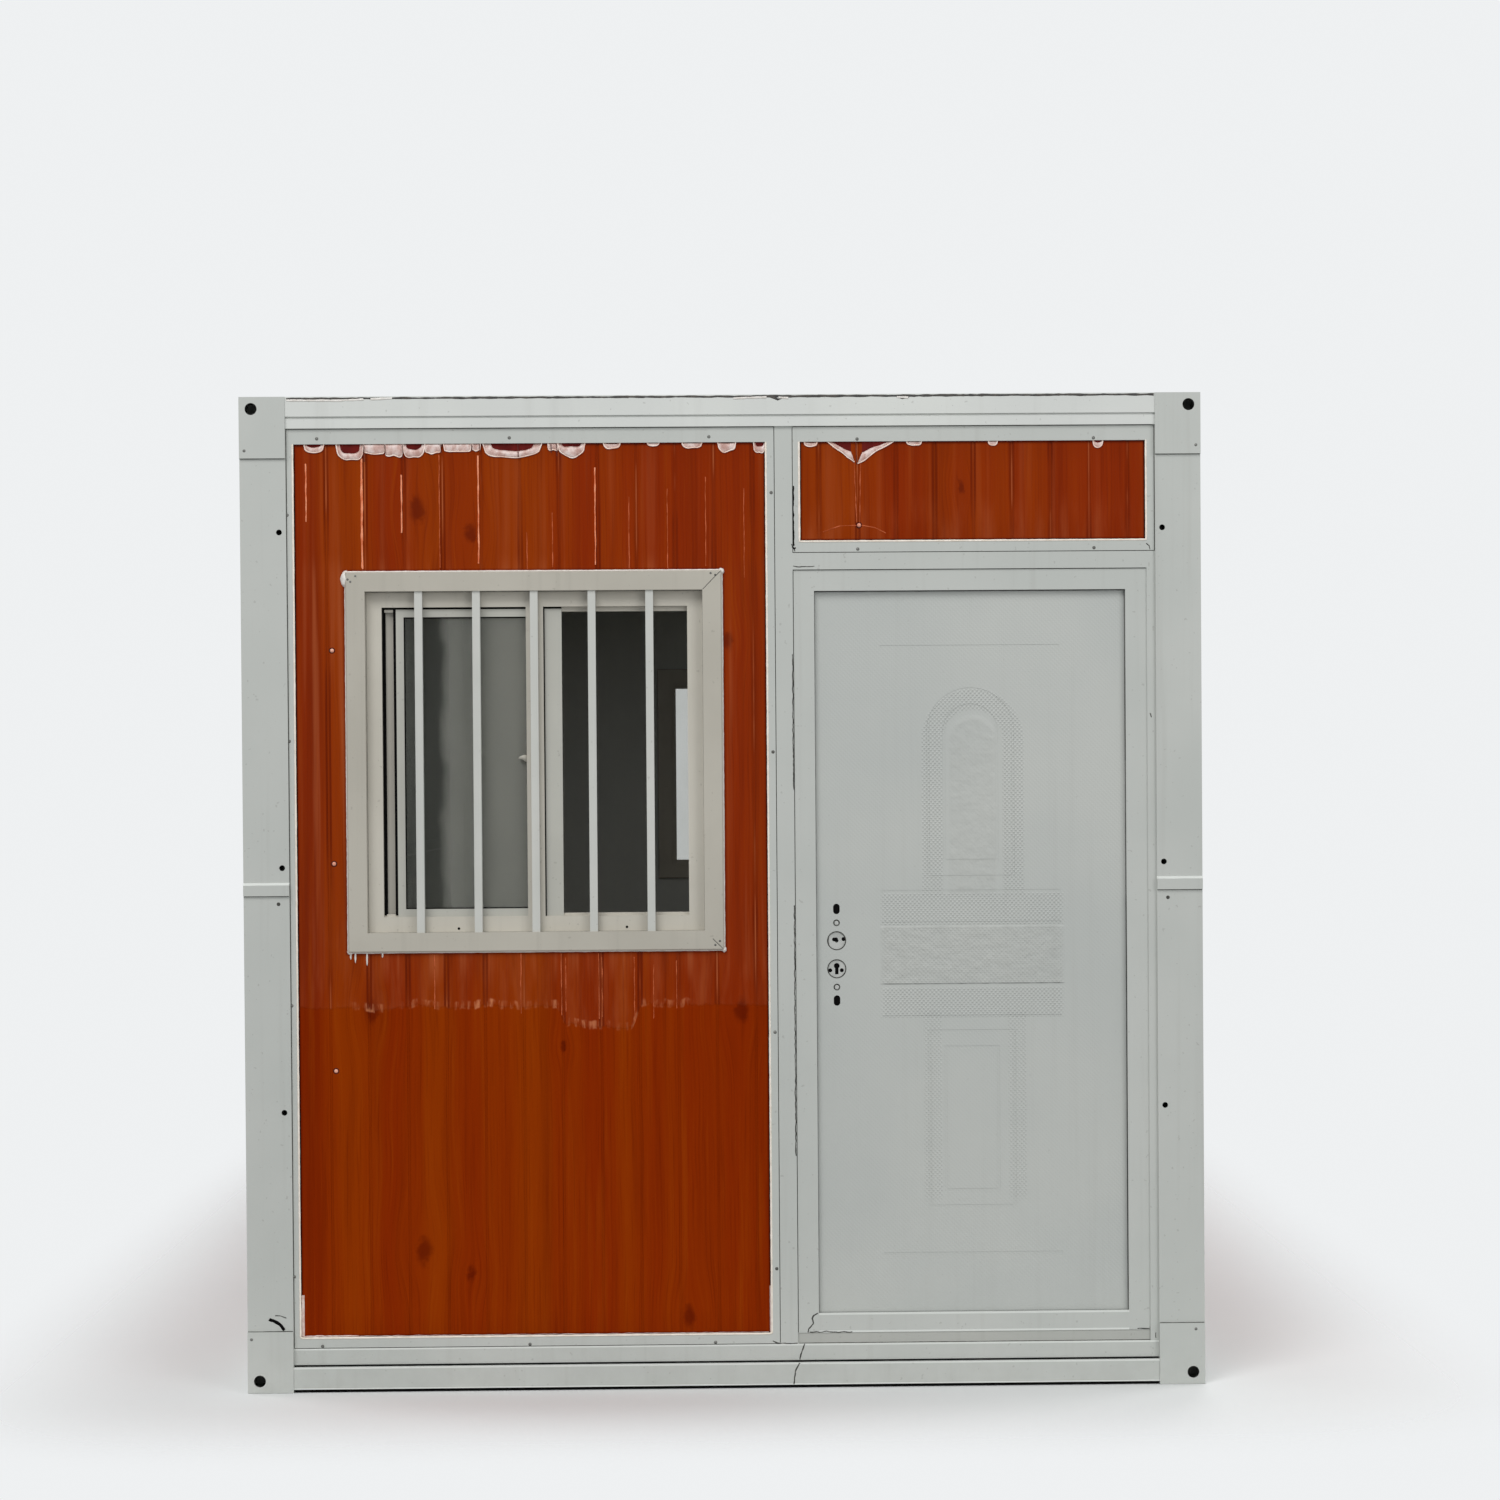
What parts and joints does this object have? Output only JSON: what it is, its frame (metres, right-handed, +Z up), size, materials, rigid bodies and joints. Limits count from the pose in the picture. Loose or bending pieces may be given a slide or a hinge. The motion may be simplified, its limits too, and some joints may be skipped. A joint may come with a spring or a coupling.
{
  "type": "folding container house",
  "caption": "Box-shaped container house with a white steel frame, wood-grain ribbed panels, a barred sliding window and a hinged door at one end, a window at the other.",
  "frame": {"origin": "middle of the footprint, on the ground under the base frame", "axes": "+Z up, -Y towards the end with the door, +X to the right when facing that end"},
  "size_m": [2.48, 5.8, 2.57],
  "materials": {
    "white_frame": "satin",
    "wood_panel": "gloss",
    "door_paint": "satin",
    "window_paint": "satin",
    "glass": "gloss",
    "lock_metal": "satin",
    "hinge_metal": "satin",
    "floor": "matte",
    "base_steel": "matte",
    "ceiling": "satin",
    "roof": "satin"
  },
  "bodies": {
    "house": {"base_corner_blocks": "white_frame", "base_front_beam": "white_frame", "base_joists": "base_steel", "base_rear_beam": "white_frame", "base_side_beams": "white_frame", "ceiling_panel": "ceiling", "door_frame_rails": "door_paint", "door_jambs": "door_paint", "floor_board": "floor", "fold_strips": "white_frame", "frame_hinges": "hinge_metal", "front_panel": "wood_panel", "front_panel_channel": "white_frame", "front_wall_rails": "white_frame", "front_wall_stiles": "white_frame", "inner_sash": "window_paint", "left_lower_panel": "wood_panel", "left_upper_panel": "wood_panel", "lower_posts": "white_frame", "outer_sash": "window_paint", "rear_bottom_rail": "white_frame", "rear_panel": "wood_panel", "rear_panel_channel": "white_frame", "rear_window_bars": "window_paint", "rear_window_frame": "window_paint", "rear_window_glass": "glass", "rear_window_rim": "window_paint", "rear_window_sashes": "window_paint", "right_lower_panel": "wood_panel", "right_upper_panel": "wood_panel", "roof_corner_blocks": "white_frame", "roof_front_beam": "white_frame", "roof_rear_beam": "white_frame", "roof_sheet": "roof", "roof_side_beams": "white_frame", "side_wall_rails": "white_frame", "transom_channel": "white_frame", "transom_panel": "wood_panel", "upper_posts": "white_frame", "window_bars": "window_paint", "window_frame": "window_paint", "window_glass": "glass", "window_rim": "window_paint"},
    "door": {"door_leaf": "door_paint", "door_lock": "lock_metal", "leaf_hinges": "hinge_metal"}
  },
  "joints": [
    {"name": "door_hinge", "type": "hinge", "parent": "house", "child": "door", "pos_m": [1.0635, -2.808, 1.127], "axis": [0, 0, -1], "range_deg": [0, 90]}
  ]
}
